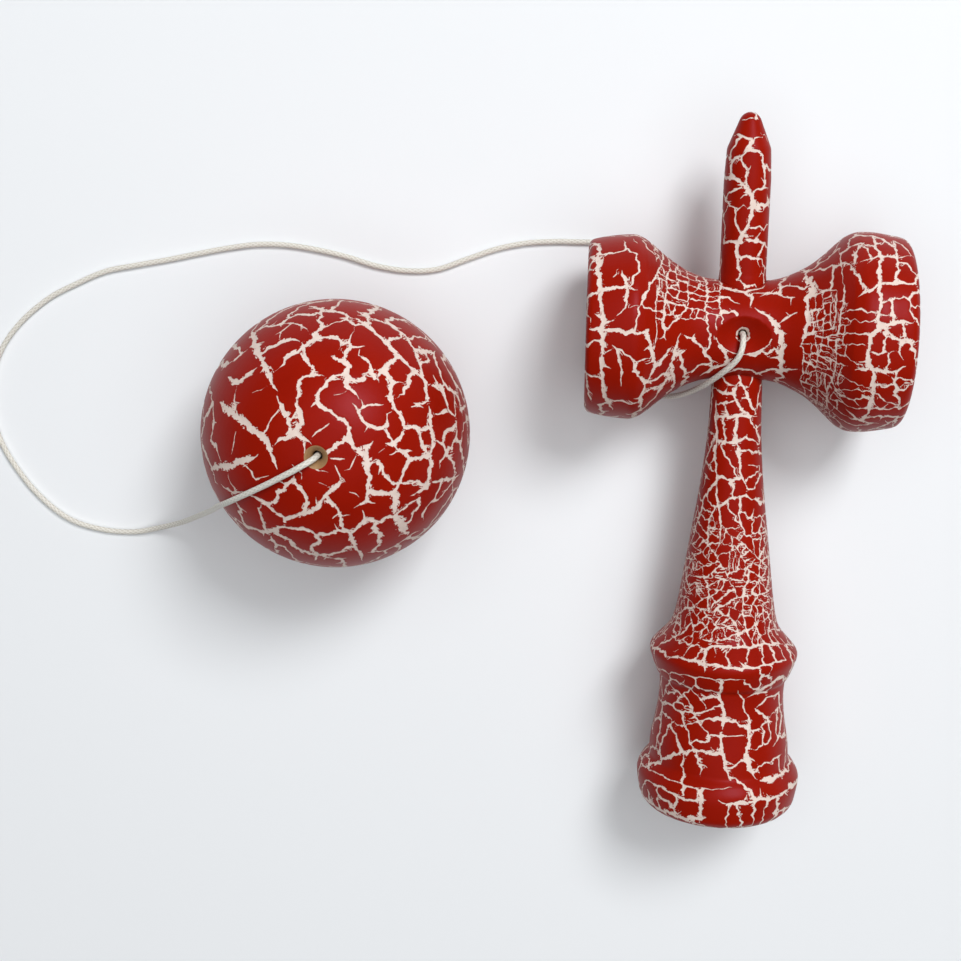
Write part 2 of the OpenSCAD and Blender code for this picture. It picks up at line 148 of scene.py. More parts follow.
# Main cracks as the camera sees them: the width in millimetres, then places in pixels of the square frame.
BALL_CRACKS = [
    (1.4, [(252, 331), (254, 338), (257, 347), (260, 356), (264, 364), (268, 371), (270, 378), (274, 387),
           (279, 393)]),
    (1.0, [(277, 396), (279, 403), (283, 411), (288, 419), (290, 427), (291, 434)]),
    (1.4, [(220, 402), (226, 408), (233, 413), (241, 419), (249, 427), (257, 433), (263, 438)]),
    (1.2, [(263, 438), (269, 446), (271, 454), (275, 463), (278, 471)]),
    (0.8, [(263, 353), (269, 347), (278, 344), (286, 340), (293, 339), (302, 343)]),
    (1.1, [(316, 332), (317, 338), (311, 342), (304, 346), (298, 352), (291, 354), (285, 358)]),
    (0.45, [(285, 358), (284, 364), (278, 369), (273, 373)]),
    (0.8, [(317, 338), (324, 337), (332, 337), (339, 339), (348, 346)]),
    (0.8, [(316, 332), (321, 328), (322, 323), (318, 320), (322, 316), (321, 311)]),
    (0.45, [(321, 328), (328, 326), (335, 322), (345, 319)]),
    (0.8, [(309, 306), (317, 308), (327, 311), (339, 312), (345, 314), (346, 319), (355, 325), (365, 325)]),
    (0.45, [(257, 330), (269, 326), (282, 324), (292, 323), (301, 325), (307, 329), (309, 333)]),
    (0.35, [(292, 323), (287, 327), (281, 332), (279, 340)]),
    (0.9, [(228, 377), (232, 381), (238, 383), (245, 377), (251, 372), (259, 366)]),
    (0.5, [(235, 410), (234, 401), (235, 394), (237, 386)]),
    (0.5, [(226, 364), (232, 361), (238, 357), (244, 352), (251, 347)]),
    (0.7, [(211, 397), (213, 404), (213, 413), (214, 422), (212, 433), (211, 441)]),
    (0.7, [(211, 441), (216, 446), (218, 454), (221, 462)]),
    (1.2, [(212, 470), (218, 467), (226, 466), (235, 465), (242, 462), (249, 459), (259, 453)]),
    (0.9, [(214, 474), (215, 482), (219, 487)]),
    (0.6, [(221, 484), (226, 489), (232, 493), (242, 492), (249, 495), (256, 498)]),
    (0.9, [(256, 498), (263, 501), (269, 507), (276, 513), (284, 517), (285, 523)]),
    (1.0, [(236, 519), (244, 525), (252, 528), (264, 532), (272, 531), (282, 527), (291, 528), (303, 528),
           (310, 531), (317, 536)]),
    (0.9, [(317, 536), (326, 535), (337, 531), (344, 530)]),
    (0.9, [(286, 519), (293, 517), (304, 514), (312, 511), (319, 506), (324, 496), (330, 491), (338, 484),
           (341, 480)]),
    (0.9, [(294, 476), (295, 484), (301, 489), (306, 497), (307, 503), (304, 509), (304, 514)]),
    (1.0, [(317, 536), (320, 541), (313, 545), (312, 550), (317, 554), (313, 561)]),
    (0.5, [(317, 554), (331, 558), (339, 559)]),
    (0.8, [(271, 536), (276, 544), (275, 550)]),
    (0.8, [(326, 496), (331, 503), (338, 510), (341, 516), (341, 522), (344, 530)]),
    (0.5, [(341, 516), (353, 515)]),
    (1.0, [(344, 530), (351, 535), (354, 543), (357, 550), (361, 554), (363, 561)]),
    (0.9, [(351, 534), (358, 527), (365, 522), (364, 514), (362, 509)]),
    (1.0, [(365, 520), (373, 521), (381, 522), (387, 517), (395, 516)]),
    (1.6, [(395, 516), (401, 522), (405, 530), (407, 536)]),
    (0.45, [(367, 553), (376, 551), (387, 550), (397, 545), (407, 538), (416, 532), (422, 529)]),
    (0.9, [(349, 428), (351, 440), (353, 447), (361, 453), (367, 454)]),
    (1.2, [(366, 448), (367, 461), (366, 470), (370, 476), (369, 484), (368, 491), (367, 501)]),
    (0.6, [(367, 501), (361, 504), (352, 509)]),
    (0.8, [(366, 448), (372, 443), (374, 439)]),
    (0.8, [(356, 456), (353, 462), (350, 469), (342, 471)]),
    (0.9, [(330, 458), (338, 459), (347, 459)]),
    (0.8, [(335, 465), (338, 472), (343, 479), (347, 484)]),
    (0.45, [(349, 492), (360, 498)]),
    (0.6, [(368, 464), (375, 462), (382, 460)]),
    (1.0, [(370, 492), (381, 493), (392, 493)]),
    (0.9, [(409, 460), (406, 466), (404, 472), (401, 480), (398, 487), (392, 493)]),
    (1.4, [(392, 493), (396, 501), (395, 509), (394, 515)]),
    (0.6, [(396, 515), (406, 507), (414, 501), (422, 496)]),
    (0.6, [(410, 496), (418, 492), (426, 488)]),
    (0.9, [(427, 488), (428, 482), (430, 473), (432, 464), (430, 455)]),
    (0.9, [(409, 460), (416, 458), (424, 456), (431, 455)]),
    (0.8, [(409, 460), (404, 453), (398, 450), (393, 444), (389, 436), (387, 430), (388, 424)]),
    (0.8, [(393, 444), (384, 443)]),
    (0.9, [(394, 442), (402, 434), (404, 430)]),
    (0.5, [(397, 451), (387, 455)]),
    (0.5, [(385, 448), (377, 454)]),
    (1.0, [(429, 406), (430, 417), (431, 427), (433, 439), (432, 447), (430, 455)]),
    (0.8, [(436, 440), (443, 444), (446, 453), (440, 461), (439, 466)]),
    (0.8, [(446, 453), (452, 448), (455, 440), (457, 430), (457, 418)]),
    (1.0, [(432, 482), (438, 482), (444, 479), (453, 478), (460, 474)]),
    (0.6, [(441, 483), (435, 499), (427, 507), (423, 513), (423, 522)]),
    (0.5, [(453, 482), (453, 489), (449, 500)]),
    (0.9, [(355, 318), (367, 325), (376, 334), (384, 341), (391, 348), (399, 356), (406, 362), (414, 370),
           (421, 376), (426, 382), (426, 391), (427, 400)]),
    (1.0, [(357, 311), (368, 317), (380, 321), (391, 325), (401, 332), (408, 339), (414, 349), (418, 359),
           (421, 368), (422, 375)]),
    (0.9, [(369, 317), (367, 325)]),
    (0.9, [(415, 349), (424, 351), (431, 352), (436, 351)]),
    (0.5, [(440, 356), (447, 368), (453, 379), (458, 391), (460, 405), (460, 414)]),
    (0.9, [(433, 375), (438, 384), (441, 389), (445, 398), (448, 407), (450, 412), (456, 417)]),
    (0.7, [(431, 386), (440, 387), (447, 384)]),
    (0.9, [(435, 414), (442, 413), (448, 410)]),
    (0.7, [(411, 407), (420, 404), (427, 401), (433, 402)]),
    (0.9, [(404, 428), (413, 426), (420, 430), (431, 428)]),
    (0.9, [(397, 356), (391, 361), (385, 366), (382, 370), (377, 378), (371, 379)]),
    (1.3, [(385, 369), (388, 376), (392, 383), (391, 392), (392, 401), (395, 409), (400, 414), (404, 422),
           (404, 430)]),
    (0.5, [(393, 383), (405, 383)]),
    (0.8, [(414, 373), (409, 376), (408, 386), (404, 388), (404, 394), (398, 399)]),
    (1.0, [(331, 356), (336, 359), (344, 361), (349, 366), (345, 374), (349, 378), (347, 386), (352, 390)]),
    (0.8, [(352, 390), (357, 395), (360, 401)]),
    (0.8, [(344, 361), (346, 352), (350, 346), (359, 347), (367, 346)]),
    (0.35, [(350, 346), (350, 338), (354, 327)]),
    (0.9, [(342, 375), (336, 375), (331, 379), (326, 386), (319, 392), (318, 401), (310, 408)]),
    (0.9, [(318, 403), (326, 410), (334, 415), (344, 420), (349, 428)]),
    (0.8, [(349, 378), (359, 381), (365, 375), (371, 377)]),
    (0.7, [(352, 403), (358, 412), (362, 419), (369, 425), (382, 428), (387, 424), (387, 414), (393, 411)]),
    (0.7, [(358, 411), (368, 405), (386, 404)]),
    (0.5, [(368, 426), (363, 434)]),
    (0.9, [(300, 380), (298, 388), (297, 398), (299, 410), (293, 417), (290, 421)]),
    (0.8, [(300, 380), (308, 376), (316, 375), (326, 377)]),
    (1.1, [(299, 410), (302, 423), (296, 428), (291, 434), (281, 438), (273, 447)]),
    (1.1, [(294, 431), (301, 437), (309, 441), (313, 446)]),
    (0.5, [(304, 443), (304, 456)]),
    (0.5, [(312, 437), (322, 429), (331, 422)]),
    (0.35, [(252, 393), (261, 390), (267, 386)]),
    (0.35, [(236, 431), (234, 442), (231, 456)]),
    (0.35, [(245, 465), (252, 472), (256, 480), (271, 475)]),
    (0.35, [(228, 473), (231, 484), (237, 490)]),
    (0.45, [(309, 467), (324, 471), (330, 473)]),
]
HANDLE_CRACKS = [
    (0.5, [(742, 120), (750, 118), (760, 120)]),
    (0.5, [(734, 136), (743, 136), (752, 139), (764, 138)]),
    (0.6, [(752, 140), (749, 149), (743, 155), (735, 158), (731, 165), (731, 178)]),
    (0.5, [(750, 150), (758, 151), (763, 156), (764, 167), (765, 185), (757, 189), (751, 194)]),
    (0.8, [(729, 178), (738, 180), (748, 189), (752, 195), (753, 204), (751, 216), (746, 229), (742, 235)]),
    (0.45, [(740, 199), (744, 195), (751, 194)]),
    (0.45, [(724, 214), (728, 205), (734, 207), (748, 209)]),
    (0.5, [(734, 207), (735, 220), (739, 230), (742, 235)]),
    (0.8, [(742, 235), (737, 243), (738, 258), (738, 267), (741, 273), (736, 281)]),
    (0.7, [(742, 235), (757, 236)]),
    (0.6, [(722, 243), (729, 241), (738, 242)]),
    (0.6, [(748, 240), (758, 241), (765, 243), (761, 251), (757, 257)]),
    (0.6, [(738, 258), (746, 256), (757, 259), (761, 269)]),
    (0.6, [(716, 400), (717, 435), (715, 455), (717, 475), (716, 495), (720, 520), (719, 545)]),
    (0.7, [(717, 416), (737, 415), (758, 416)]),
    (0.7, [(732, 388), (740, 407), (750, 417), (755, 430)]),
    (0.7, [(719, 441), (734, 442), (745, 437), (758, 444)]),
    (0.7, [(737, 417), (736, 442), (740, 462), (742, 477), (748, 490)]),
    (0.7, [(719, 477), (732, 480), (744, 477)]),
    (0.5, [(748, 465), (760, 465)]),
    (0.5, [(720, 505), (734, 498), (740, 497), (752, 500), (762, 498)]),
    (0.6, [(740, 497), (740, 520), (746, 535)]),
    (0.6, [(666, 656), (690, 661), (710, 665), (730, 668), (752, 668), (778, 662), (788, 660)]),
    (0.6, [(706, 650), (714, 646), (734, 648), (760, 645), (784, 644)]),
    (0.6, [(706, 650), (704, 665), (704, 674)]),
    (0.3, [(657, 667), (675, 673), (690, 676), (705, 678), (720, 679), (735, 680), (748, 680)]),
    (0.6, [(722, 682), (720, 700), (724, 720), (722, 732)]),
    (0.9, [(721, 735), (722, 752), (726, 770), (732, 782)]),
    (0.5, [(738, 690), (744, 700), (745, 712), (750, 722)]),
    (1.0, [(750, 722), (749, 735), (747, 750), (749, 768), (757, 780)]),
    (0.6, [(706, 737), (722, 736), (746, 736)]),
    (0.6, [(748, 697), (766, 692), (776, 682)]),
    (0.8, [(754, 710), (766, 698), (779, 693)]),
    (0.6, [(779, 693), (782, 716), (779, 736), (772, 748)]),
    (1.3, [(760, 781), (774, 778), (790, 770)]),
    (0.3, [(650, 770), (670, 780), (690, 787), (712, 790), (735, 788)]),
    (0.6, [(646, 780), (660, 786), (676, 796), (696, 801), (708, 800)]),
    (0.8, [(718, 800), (732, 804), (748, 803), (762, 799), (778, 796), (790, 787)]),
    (0.8, [(700, 790), (701, 808), (700, 824)]),
    (0.6, [(760, 788), (760, 798), (753, 806), (751, 826)]),
    (0.6, [(684, 786), (684, 797)]),
]
CROSS_CUP_CRACKS = [
    (1.0, [(600, 250), (599, 265), (600, 280), (602, 308), (604, 335), (602, 365), (604, 392), (612, 411)]),
    (0.7, [(592, 294), (606, 289), (622, 288), (640, 290)]),
    (0.7, [(589, 329), (615, 330), (642, 333), (650, 330)]),
    (0.6, [(622, 270), (627, 288), (625, 308), (615, 317)]),
    (0.6, [(598, 254), (614, 253), (626, 250), (623, 240)]),
    (0.8, [(647, 332), (652, 350), (654, 368), (645, 384), (640, 398), (639, 412)]),
    (0.9, [(681, 333), (675, 350), (672, 368), (668, 382)]),
    (0.7, [(655, 368), (666, 355), (674, 345)]),
    (0.7, [(664, 305), (663, 325), (667, 342)]),
    (0.5, [(612, 345), (625, 355), (637, 362), (650, 358)]),
    (0.5, [(618, 352), (622, 370), (621, 388)]),
    (0.7, [(684, 335), (700, 345), (710, 358), (712, 368)]),
    (0.8, [(754, 293), (772, 293), (784, 297), (797, 297)]),
    (1.1, [(755, 308), (772, 320), (782, 335), (781, 352), (782, 370)]),
    (0.7, [(780, 323), (790, 316), (799, 312)]),
    (1.2, [(806, 274), (814, 290), (808, 296), (808, 318), (806, 334), (799, 348)]),
    (0.7, [(812, 296), (826, 290), (840, 291)]),
    (0.7, [(757, 374), (772, 369), (784, 371), (800, 369)]),
    (0.7, [(716, 284), (729, 289), (745, 292), (758, 289), (768, 284)]),
    (0.6, [(745, 292), (752, 297), (750, 309)]),
    (0.6, [(726, 373), (738, 369), (752, 370), (764, 377)]),
    (0.6, [(700, 376), (716, 367), (728, 363), (740, 364)]),
    (0.7, [(874, 238), (880, 256), (879, 275), (881, 300), (879, 325)]),
    (1.0, [(879, 325), (870, 345), (868, 358), (874, 378), (872, 400), (864, 420)]),
    (0.7, [(858, 297), (872, 290), (880, 282), (898, 283), (914, 284)]),
    (0.7, [(879, 325), (898, 322), (916, 323)]),
    (0.7, [(855, 370), (870, 368), (892, 372), (908, 366)]),
    (0.6, [(903, 323), (905, 340), (899, 352), (905, 362)]),
    (0.6, [(897, 372), (895, 392), (900, 410)]),
    (0.7, [(845, 408), (860, 420), (880, 424)]),
    (0.6, [(860, 262), (878, 256), (896, 258), (912, 256)]),
    (0.6, [(893, 240), (898, 262), (896, 282)]),
]


def linear(code):
    """Linear colour of an sRGB hex code."""
    parts = [int(code[i:i + 2], 16) / 255 for i in (0, 2, 4)]
    return [c / 12.92 if c <= 0.04045 else ((c + 0.055) / 1.055) ** 2.4 for c in parts]


class ToyPaint(bpy.types.PropertyGroup):
    """Colours and sizes of the crackle paint and the bare wood."""
    red: FloatVectorProperty(name="Top coat", description="Colour of the crackled top coat",
                             subtype="COLOR", default=linear("981803"))
    deep_red: FloatVectorProperty(name="Deep top coat", description="Top coat where it lies thicker",
                                  subtype="COLOR", default=linear("871203"))
    cream: FloatVectorProperty(name="Base coat", description="Colour of the base coat in the cracks",
                               subtype="COLOR", default=linear("EADBD1"))
    grey_cream: FloatVectorProperty(name="Worn base coat", description="Base coat where it is dull",
                                    subtype="COLOR", default=linear("D2BDB3"))
    wood: FloatVectorProperty(name="Bare wood", description="Wood where there is no paint",
                              subtype="COLOR", default=linear("B08C62"))
    dark_wood: FloatVectorProperty(name="Wood grain", description="Late wood of the grain",
                                   subtype="COLOR", default=linear("86633F"))
    ball_cell: FloatProperty(name="Ball cells", description="Width of the islands of paint on the ball",
                             default=6.4 * MM, min=2 * MM, max=20 * MM, unit="LENGTH")
    cup_cell: FloatProperty(name="Cup cells", description="Width of the islands of paint on the cups",
                            default=6.0 * MM, min=2 * MM, max=20 * MM, unit="LENGTH")
    grip_cell: FloatProperty(name="Grip cells", description="Width of the islands of paint on the handle",
                             default=5.2 * MM, min=2 * MM, max=20 * MM, unit="LENGTH")
    recess: FloatProperty(name="Recess", description="Depth of the cracks",
                          default=0.07 * MM, min=0, max=0.3 * MM, unit="LENGTH")


class ToyCord(bpy.types.PropertyGroup):
    """Size and colours of the cord and its bead."""
    diameter: FloatProperty(name="Diameter", description="Diameter of the cord",
                            default=2 * CORD_R * MM, min=0.5 * MM, max=3 * MM, unit="LENGTH")
    plaits: IntProperty(name="Plaits", description="Strands that run each way round the braid",
                        default=5, min=2, max=8)
    lay: FloatProperty(name="Lay", description="Length in which a strand goes once round",
                       default=7 * MM, min=2 * MM, max=20 * MM, unit="LENGTH")
    light: FloatVectorProperty(name="Strand", description="Colour of the strands' backs",
                               subtype="COLOR", default=linear("E4E2DA"))
    # Painted shade: the colour that the gaps between the strands take.
    shade: FloatVectorProperty(name="Strand shade", description="Colour between the strands",
                               subtype="COLOR", default=linear("C3BEB3"))
    bead: FloatVectorProperty(name="Bead", description="Colour of the bead in the ball",
                              subtype="COLOR", default=linear("E6DFCF"))


class ToyStage(bpy.types.PropertyGroup):
    """Camera and floor."""
    place: FloatVectorProperty(name="Camera", description="Place of the camera", subtype="TRANSLATION",
                               default=(0.16 * MM, 65.85 * MM, 364.99 * MM))
    turn: FloatVectorProperty(name="Camera turn", description="Turn of the camera", subtype="EULER",
                              default=[math.radians(a) for a in (-11.28, 2.80, 0.92)])
    lens: FloatProperty(name="Lens", description="Focal length in millimetres", default=57.4, min=20, max=200)
    floor: FloatVectorProperty(name="Floor", description="Colour of the floor", subtype="COLOR",
                               default=linear("E8EBEE"))


def add_node(tree, kind, inputs=None, **settings):
    """Adds a node to a tree, sets it up, and sets or links its inputs by name or number."""
    made = tree.nodes.new(kind)
    for key, value in settings.items():
        setattr(made, key, value)
    for key, value in (inputs or {}).items():
        if isinstance(value, bpy.types.NodeSocket):
            tree.links.new(value, made.inputs[key])
        else:
            made.inputs[key].default_value = value
    return made


def new_material(name):
    """An empty node material."""
    material = bpy.data.materials.new(name)
    material.use_nodes = True
    material.node_tree.nodes.clear()
    return material


def rgba(colour):
    """A colour property as a socket's value."""
    return (*colour, 1.0)


def crackle_paint(paint):
    """Red crackle paint: torn islands of satin top coat stand proud of a duller cream base coat."""
    tree = new_material("crackle_paint_over_cream").node_tree
    place = add_node(tree, "ShaderNodeTexCoord").outputs["Object"]
    way = add_node(tree, "ShaderNodeAttribute", attribute_name="crack_way").outputs["Vector"]
    half = add_node(tree, "ShaderNodeAttribute", attribute_name="crack_half").outputs["Fac"]
    distance = add_node(tree, "ShaderNodeAttribute", attribute_name="crack_distance").outputs["Fac"]
    across = add_node(tree, "ShaderNodeVectorMath", {0: way}, operation="LENGTH").outputs["Value"]
    # Halfway between two cracks the blended way to the nearest fails, so the plain distance takes over there.
    plain = add_node(tree, "ShaderNodeMath", {0: distance, 1: 0.35}, operation="SUBTRACT").outputs[0]
    apart = add_node(tree, "ShaderNodeMath", {0: across, 1: plain}, operation="MAXIMUM").outputs[0]
    beyond = add_node(tree, "ShaderNodeMath", {0: apart, 1: half}, operation="SUBTRACT").outputs[0]
    # The edges tear in angular flakes 0.9 mm across and chips of 0.45 mm, further on a wide crack.
    flakes = add_node(tree, "ShaderNodeTexVoronoi", {"Vector": place, "Scale": 1 / (0.9 * MM)})
    chips = add_node(tree, "ShaderNodeTexVoronoi", {"Vector": place, "Scale": 1 / (0.45 * MM)})
    flake = add_node(tree, "ShaderNodeSeparateXYZ", {0: flakes.outputs["Color"]}).outputs["X"]
    chip = add_node(tree, "ShaderNodeSeparateXYZ", {0: chips.outputs["Color"]}).outputs["X"]
    reach = add_node(tree, "ShaderNodeMath", {0: half, 1: 0.95, 2: 0.01}, operation="MULTIPLY_ADD").outputs[0]
    lift = add_node(tree, "ShaderNodeMath", {0: flake, 1: 0.5}, operation="SUBTRACT").outputs[0]
    tear = add_node(tree, "ShaderNodeMath", {0: lift, 1: reach}, operation="MULTIPLY").outputs[0]
    bite = add_node(tree, "ShaderNodeMath", {0: half, 1: 0.35, 2: 0.03}, operation="MULTIPLY_ADD").outputs[0]
    dent = add_node(tree, "ShaderNodeMath", {0: chip, 1: 0.5}, operation="SUBTRACT").outputs[0]
    nick = add_node(tree, "ShaderNodeMath", {0: dent, 1: bite}, operation="MULTIPLY").outputs[0]
    torn = add_node(tree, "ShaderNodeMath", {0: tear, 1: nick}, operation="ADD").outputs[0]
    edge = add_node(tree, "ShaderNodeMath", {0: beyond, 1: torn}, operation="ADD").outputs[0]
    crack = add_node(tree, "ShaderNodeMapRange", {"Value": edge, "From Min": -0.04, "From Max": 0.04,
                                                  "To Min": 1.0, "To Max": 0.0},
                     interpolation_type="SMOOTHSTEP").outputs["Result"]
    clouds = add_node(tree, "ShaderNodeTexNoise", {"Vector": place, "Scale": 1 / (9 * MM), "Detail": 3.0})
    stains = add_node(tree, "ShaderNodeTexNoise", {"Vector": place, "Scale": 1 / (1.2 * MM), "Detail": 3.0})
    top = add_node(tree, "ShaderNodeMix", {0: clouds.outputs["Fac"], 6: rgba(paint.deep_red),
                                           7: rgba(paint.red)}, data_type="RGBA").outputs[2]
    base = add_node(tree, "ShaderNodeMix", {0: stains.outputs["Fac"], 6: rgba(paint.grey_cream),
                                            7: rgba(paint.cream)}, data_type="RGBA").outputs[2]
    colour = add_node(tree, "ShaderNodeMix", {0: crack, 6: top, 7: base}, data_type="RGBA").outputs[2]
    sheen = add_node(tree, "ShaderNodeMapRange", {"Value": crack, "To Min": 0.38, "To Max": 0.65})
    # Fine pebbling of brushed lacquer, about 0.6 mm across, and the step down into the cracks.
    pebbles = add_node(tree, "ShaderNodeTexNoise", {"Vector": place, "Scale": 1 / (0.6 * MM), "Detail": 2.0})
    height = add_node(tree, "ShaderNodeMath", {0: pebbles.outputs["Fac"], 1: 0.3}, operation="MULTIPLY")
    step = add_node(tree, "ShaderNodeMath", {0: height.outputs[0], 1: crack}, operation="SUBTRACT").outputs[0]
    bump = add_node(tree, "ShaderNodeBump", {"Height": step, "Strength": 0.7, "Distance": 0.07 * MM})
    shader = add_node(tree, "ShaderNodeBsdfPrincipled", {
        "Base Color": colour, "Roughness": sheen.outputs["Result"], "IOR": 1.48, "Specular IOR Level": 0.11,
        "Specular Tint": (1.0, 0.62, 0.85, 1.0), "Normal": bump.outputs["Normal"]})
    add_node(tree, "ShaderNodeOutputMaterial", {"Surface": shader.outputs[0]})


def bare_wood(paint):
    """Bare turned hardwood: fine grain along the piece, dull and a little darker in the late wood."""
    tree = new_material("bare_turned_hardwood").node_tree
    place = add_node(tree, "ShaderNodeTexCoord").outputs["Object"]
    stretched = add_node(tree, "ShaderNodeMapping", {"Vector": place, "Scale": (1.0, 0.12, 1.0)})
    # Growth rings about 1.4 mm apart, with pores of 0.2 mm.
    grain = add_node(tree, "ShaderNodeTexNoise", {"Vector": stretched.outputs[0], "Scale": 1 / (1.4 * MM),
                                                  "Detail": 4.0, "Distortion": 0.6})
    pores = add_node(tree, "ShaderNodeTexNoise", {"Vector": stretched.outputs[0], "Scale": 1 / (0.2 * MM)})
    colour = add_node(tree, "ShaderNodeMix", {0: grain.outputs["Fac"], 6: rgba(paint.dark_wood),
                                              7: rgba(paint.wood)}, data_type="RGBA").outputs[2]
    bump = add_node(tree, "ShaderNodeBump", {"Height": pores.outputs["Fac"], "Strength": 0.5,
                                             "Distance": 0.05 * MM})
    shader = add_node(tree, "ShaderNodeBsdfPrincipled", {
        "Base Color": colour, "Roughness": 0.62, "IOR": 1.5, "Normal": bump.outputs["Normal"]})
    add_node(tree, "ShaderNodeOutputMaterial", {"Surface": shader.outputs[0]})


def braided_cord(cord):
    """Braided polyester cord: pale strands with painted shade in the gaps between them, and a soft sheen."""
    material = new_material("braided_polyester_cord")
    tree = material.node_tree
    place = add_node(tree, "ShaderNodeTexCoord").outputs["Object"]
    braid = add_node(tree, "ShaderNodeAttribute", attribute_name="braid").outputs["Fac"]
    # Single fibres are finer than the render shows, so they are drawn 0.15 mm wide.
    fibres = add_node(tree, "ShaderNodeTexNoise", {"Vector": place, "Scale": 1 / (0.15 * MM)})
    worn = add_node(tree, "ShaderNodeMath", {0: fibres.outputs["Fac"], 1: 0.3, 2: -0.15},
                    operation="MULTIPLY_ADD").outputs[0]
    light = add_node(tree, "ShaderNodeMath", {0: braid, 1: worn}, operation="ADD", use_clamp=True).outputs[0]
    # Painted shade: between the strands the colour falls to the darker shade colour.
    colour = add_node(tree, "ShaderNodeMix", {0: light, 6: rgba(cord.shade), 7: rgba(cord.light)},
                      data_type="RGBA").outputs[2]
    bump = add_node(tree, "ShaderNodeBump", {"Height": fibres.outputs["Fac"], "Strength": 0.4,
                                             "Distance": 0.04 * MM})
    shader = add_node(tree, "ShaderNodeBsdfPrincipled", {
        "Base Color": colour, "Roughness": 0.7, "IOR": 1.5, "Sheen Weight": 0.2,
        "Normal": bump.outputs["Normal"]})
    add_node(tree, "ShaderNodeOutputMaterial", {"Surface": shader.outputs[0]})
    return material


def moulded_bead(cord):
    """Moulded plastic bead: smooth, with faint flow marks."""
    material = new_material("moulded_plastic_bead")
    tree = material.node_tree
    place = add_node(tree, "ShaderNodeTexCoord").outputs["Object"]
    flow = add_node(tree, "ShaderNodeTexNoise", {"Vector": place, "Scale": 1 / (3 * MM), "Detail": 2.0})
    dull = [c * 0.85 for c in cord.bead]
    colour = add_node(tree, "ShaderNodeMix", {0: flow.outputs["Fac"], 6: rgba(dull), 7: rgba(cord.bead)},
                      data_type="RGBA").outputs[2]
    rough = add_node(tree, "ShaderNodeMapRange", {"Value": flow.outputs["Fac"], "To Min": 0.2,
                                                  "To Max": 0.35})
    shader = add_node(tree, "ShaderNodeBsdfPrincipled", {
        "Base Color": colour, "Roughness": rough.outputs["Result"], "IOR": 1.5})
    add_node(tree, "ShaderNodeOutputMaterial", {"Surface": shader.outputs[0]})
    return material


def painted_wood():
    """The two finishes of a turned piece: the paint, and the bare wood where there is no paint."""
    return [bpy.data.materials[name] for name in ("crackle_paint_over_cream", "bare_turned_hardwood")]


def placed(name, bm):
    """A new object in the scene with the faces of a bmesh, which is freed."""
    mesh = bpy.data.meshes.new(name)
    bm.to_mesh(mesh)
    bm.free()
    made = bpy.data.objects.new(name, mesh)
    bpy.context.scene.collection.objects.link(made)
    return made


def finished(name, bm, materials, body, node):
    """The finished piece of a bmesh: it replaces its solid, and rides on a body if one is given."""
    piece = placed(name, bm)
    for material in materials:
        piece.data.materials.append(material)
    piece.data.polygons.foreach_set("use_smooth", [True] * len(piece.data.polygons))
    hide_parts(node)
    if body:
        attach(piece, body)
    return piece


def outline_of(node, centre, axis, side):
    """A bmesh with the outline that a plane through the axis cuts on one side of a turned solid."""
    bm = bmesh.new()
    bm.from_mesh(frame["nodes"][node].data)
    bmesh.ops.remove_doubles(bm, verts=bm.verts, dist=TOUCH)
    for normal, both in ((axis.cross(side), True), (side, False)):
        bmesh.ops.bisect_plane(bm, geom=bm.verts[:] + bm.edges[:] + bm.faces[:], dist=TOUCH,
                               plane_co=centre, plane_no=normal, clear_inner=True, clear_outer=both)

    # A drilled hole leaves a loop of its own, so only the run of edges that reaches furthest out is kept.
    def distance_out(v):
        return (v.co - centre).dot(side)

    run = [max(bm.verts, key=distance_out)]
    kept = set(run)
    while run:
        for edge in run.pop().link_edges:
            for v in edge.verts:
                if v not in kept:
                    kept.add(v)
                    run.append(v)
    bmesh.ops.delete(bm, geom=[v for v in bm.verts if v not in kept], context="VERTS")
    return bm


def turned(node, centre, axis, side, step_at, turns):
    """A turned piece as a fine mesh: the solid's own outline in short steps, spun once round its axis."""
    bm = outline_of(node, centre, axis, side)
    bmesh.ops.remove_doubles(bm, verts=bm.verts, dist=0.1 * MM)
    for edge in bm.edges[:]:
        middle = (edge.verts[0].co + edge.verts[1].co) / 2
        cuts = math.ceil(edge.calc_length() / step_at(middle)) - 1
        if cuts > 0:
            bmesh.ops.subdivide_edges(bm, edges=[edge], cuts=cuts)
    # What all but touches the axis is put on it.
    for v in bm.verts:
        if (v.co - centre).dot(side) < 0.02 * MM:
            v.co = centre + axis * (v.co - centre).dot(axis)
    inner = [v for v in bm.verts if len(v.link_edges) == 2]
    bmesh.ops.smooth_vert(bm, verts=inner, factor=0.5, use_axis_x=True, use_axis_y=True, use_axis_z=True)
    # A narrow gore is spun first and then repeated round the axis, which is far quicker than one long spin.
    gores = 20
    gore = 2 * math.pi / gores
    bmesh.ops.spin(bm, geom=bm.verts[:] + bm.edges[:], cent=centre, axis=axis, angle=gore,
                   steps=turns // gores)
    bmesh.ops.spin(bm, geom=bm.verts[:] + bm.edges[:] + bm.faces[:], cent=centre, axis=axis,
                   angle=2 * math.pi - gore, steps=gores - 1, use_duplicate=True)
    bmesh.ops.remove_doubles(bm, verts=bm.verts, dist=0.005 * MM)
    bmesh.ops.recalc_face_normals(bm, faces=bm.faces)
    return in_order(bm)


def in_order(bm):
    """The same mesh with its corners and faces in order of place, which a spin or a cut leaves to chance."""
    corners = sorted(bm.verts, key=lambda v: v.co[:])
    for number, v in enumerate(corners):
        v.index = number
    rows = []
    for face in bm.faces:
        row = [v.index for v in face.verts]
        first = row.index(min(row))
        rows.append(row[first:] + row[:first])
    ordered = bmesh.new()
    verts = [ordered.verts.new(v.co) for v in corners]
    for row in sorted(rows):
        ordered.faces.new([verts[n] for n in row])
    bm.free()
    ordered.normal_update()
    return ordered


